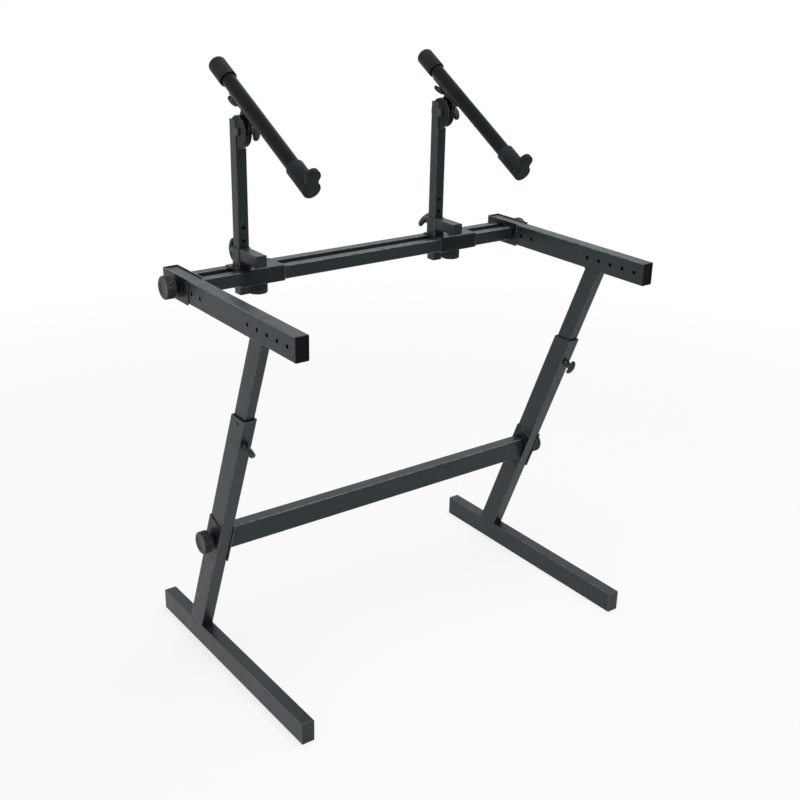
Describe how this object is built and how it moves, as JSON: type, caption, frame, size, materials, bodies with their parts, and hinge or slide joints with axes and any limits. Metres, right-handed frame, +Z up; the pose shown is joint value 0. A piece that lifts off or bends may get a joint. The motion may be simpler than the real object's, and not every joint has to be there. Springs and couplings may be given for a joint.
{
  "type": "two-tier keyboard stand",
  "caption": "Black tubular two-tier keyboard stand with telescoping leaning legs, side arms, and sliding posts that carry tilting upper supports.",
  "frame": {"origin": "On the floor, midway between the two feet and midway along them.", "axes": "+Z up; +X to the player's right hand as the player faces the stand, along the crossbar and rails; +Y from the player to the rear."},
  "size_m": [0.973, 0.625, 1.2956],
  "materials": {
    "frame_black": "satin black powder coat on steel tube",
    "tube_black": "deep black powder coat on round steel tube",
    "rosette_black": "deep black gloss coat on pressed steel discs",
    "bracket_black": "satin black powder coat on pressed sheet steel",
    "knob_plastic": "matte black moulded plastic",
    "plug_plastic": "fine-grained black plastic",
    "rubber": "matte black moulded rubber",
    "black_steel": "black oxide steel hardware"
  },
  "bodies": {
    "lower_frame": {"foot_left": "frame_black", "foot_right": "frame_black", "foot_end_plugs": "knob_plastic", "outer_leg_left": "frame_black", "outer_leg_right": "frame_black", "leg_bushes": "plug_plastic", "bush_screws": "black_steel", "lower_crossbar": "frame_black", "lower_brackets": "bracket_black", "lower_bracket_nuts": "black_steel"},
    "upper_frame": {"inner_leg_left": "frame_black", "inner_leg_right": "frame_black", "inner_leg_plugs": "plug_plastic", "side_arm_left": "frame_black", "side_arm_right": "frame_black", "arm_end_plugs": "plug_plastic", "front_rail": "frame_black", "rear_rail": "frame_black", "rear_brackets": "bracket_black", "rear_bracket_nuts": "black_steel"},
    "lower_knob_left": {"lower_knob_left": "knob_plastic", "lower_bolt_left": "black_steel"},
    "rear_knob_left": {"rear_knob_left": "knob_plastic", "rear_bolt_left": "black_steel"},
    "leg_screw_left": {"leg_clamp_screw_left": "knob_plastic"},
    "tier_clamp_left": {"rail_clamp_left": "bracket_black", "post_collar_left": "frame_black", "rail_nut_left": "black_steel"},
    "rail_knob_left": {"rail_knob_left": "knob_plastic", "rail_bolt_left": "black_steel"},
    "post_left": {"post_left": "frame_black", "post_rosette_left": "rosette_black", "pivot_bolt_left": "black_steel"},
    "post_screw_left": {"post_screw_left": "knob_plastic"},
    "arm_left": {"tilt_bracket_left": "rosette_black"},
    "pivot_knob_left": {"pivot_knob_left": "knob_plastic"},
    "support_left": {"support_tube_left": "tube_black", "tube_cap_left": "rubber", "end_stop_left": "rubber"},
    "tube_screw_left": {"tube_screw_left": "knob_plastic"},
    "lower_knob_right": {"lower_knob_right": "knob_plastic", "lower_bolt_right": "black_steel"},
    "rear_knob_right": {"rear_knob_right": "knob_plastic", "rear_bolt_right": "black_steel"},
    "leg_screw_right": {"leg_clamp_screw_right": "knob_plastic"},
    "tier_clamp_right": {"rail_clamp_right": "bracket_black", "post_collar_right": "frame_black", "rail_nut_right": "black_steel"},
    "rail_knob_right": {"rail_knob_right": "knob_plastic", "rail_bolt_right": "black_steel"},
    "post_right": {"post_right": "frame_black", "post_rosette_right": "rosette_black", "pivot_bolt_right": "black_steel"},
    "post_screw_right": {"post_screw_right": "knob_plastic"},
    "arm_right": {"tilt_bracket_right": "rosette_black"},
    "pivot_knob_right": {"pivot_knob_right": "knob_plastic"},
    "support_right": {"support_tube_right": "tube_black", "tube_cap_right": "rubber", "end_stop_right": "rubber"},
    "tube_screw_right": {"tube_screw_right": "knob_plastic"}
  },
  "joints": [
    {"name": "frame_height", "type": "slide", "parent": "lower_frame", "child": "upper_frame", "axis": [0, -0.3681, 0.9298], "range_m": [-0.16, 0.065]},
    {"name": "lower_knob_left_turn", "type": "hinge", "parent": "lower_frame", "child": "lower_knob_left", "pos_m": [-0.4565, 0.04706, 0.31], "axis": [-1, 0, 0], "continuous": true},
    {"name": "rear_knob_left_turn", "type": "hinge", "parent": "upper_frame", "child": "rear_knob_left", "pos_m": [-0.4595, 0.155, 0.854], "axis": [-1, 0, 0], "continuous": true},
    {"name": "leg_screw_left_turn", "type": "hinge", "parent": "lower_frame", "child": "leg_screw_left", "pos_m": [-0.439, -0.09393, 0.57646], "axis": [0, -0.9298, -0.3681], "continuous": true},
    {"name": "clamp_left_along_rails", "type": "slide", "parent": "upper_frame", "child": "tier_clamp_left", "axis": [1, 0, 0], "range_m": [-0.09, 0.195]},
    {"name": "rail_knob_left_turn", "type": "hinge", "parent": "tier_clamp_left", "child": "rail_knob_left", "pos_m": [-0.266, 0.155, 0.8364], "axis": [0, 0, -1], "continuous": true},
    {"name": "post_left_height", "type": "slide", "parent": "tier_clamp_left", "child": "post_left", "axis": [0, 0, 1], "range_m": [-0.056, 0.056]},
    {"name": "post_screw_left_turn", "type": "hinge", "parent": "tier_clamp_left", "child": "post_screw_left", "pos_m": [-0.3025, 0.178, 0.9015], "axis": [0, 1, 0], "continuous": true},
    {"name": "arm_left_tilt", "type": "hinge", "parent": "post_left", "child": "arm_left", "pos_m": [-0.301, 0.138, 1.158], "axis": [1, 0, 0], "range_deg": [-28, 20]},
    {"name": "pivot_knob_left_turn", "type": "hinge", "parent": "arm_left", "child": "pivot_knob_left", "pos_m": [-0.297, 0.138, 1.158], "axis": [1, 0, 0], "continuous": true},
    {"name": "support_left_reach", "type": "slide", "parent": "arm_left", "child": "support_left", "axis": [0, 0.8813, 0.4726], "range_m": [-0.021, 0.0045]},
    {"name": "tube_screw_left_turn", "type": "hinge", "parent": "support_left", "child": "tube_screw_left", "pos_m": [-0.301, 0.16781, 1.22198], "axis": [0, 0.4726, -0.8813], "continuous": true},
    {"name": "lower_knob_right_turn", "type": "hinge", "parent": "lower_frame", "child": "lower_knob_right", "pos_m": [0.4565, 0.04706, 0.31], "axis": [1, 0, 0], "continuous": true},
    {"name": "rear_knob_right_turn", "type": "hinge", "parent": "upper_frame", "child": "rear_knob_right", "pos_m": [0.4595, 0.155, 0.854], "axis": [1, 0, 0], "continuous": true},
    {"name": "leg_screw_right_turn", "type": "hinge", "parent": "lower_frame", "child": "leg_screw_right", "pos_m": [0.439, -0.09393, 0.57646], "axis": [0, -0.9298, -0.3681], "continuous": true},
    {"name": "clamp_right_along_rails", "type": "slide", "parent": "upper_frame", "child": "tier_clamp_right", "axis": [1, 0, 0], "range_m": [-0.2, 0.105]},
    {"name": "rail_knob_right_turn", "type": "hinge", "parent": "tier_clamp_right", "child": "rail_knob_right", "pos_m": [0.264, 0.155, 0.8364], "axis": [0, 0, -1], "continuous": true},
    {"name": "post_right_height", "type": "slide", "parent": "tier_clamp_right", "child": "post_right", "axis": [0, 0, 1], "range_m": [-0.056, 0.056]},
    {"name": "post_screw_right_turn", "type": "hinge", "parent": "tier_clamp_right", "child": "post_screw_right", "pos_m": [0.216, 0.178, 0.9015], "axis": [0, 1, 0], "continuous": true},
    {"name": "arm_right_tilt", "type": "hinge", "parent": "post_right", "child": "arm_right", "pos_m": [0.2175, 0.138, 1.158], "axis": [1, 0, 0], "range_deg": [-30, 18]},
    {"name": "pivot_knob_right_turn", "type": "hinge", "parent": "arm_right", "child": "pivot_knob_right", "pos_m": [0.2215, 0.138, 1.158], "axis": [1, 0, 0], "continuous": true},
    {"name": "support_right_reach", "type": "slide", "parent": "arm_right", "child": "support_right", "axis": [0, 0.8625, 0.506], "range_m": [-0.003, 0.0225]},
    {"name": "tube_screw_right_turn", "type": "hinge", "parent": "support_right", "child": "tube_screw_right", "pos_m": [0.2175, 0.1498, 1.21397], "axis": [0, 0.506, -0.8625], "continuous": true}
  ]
}
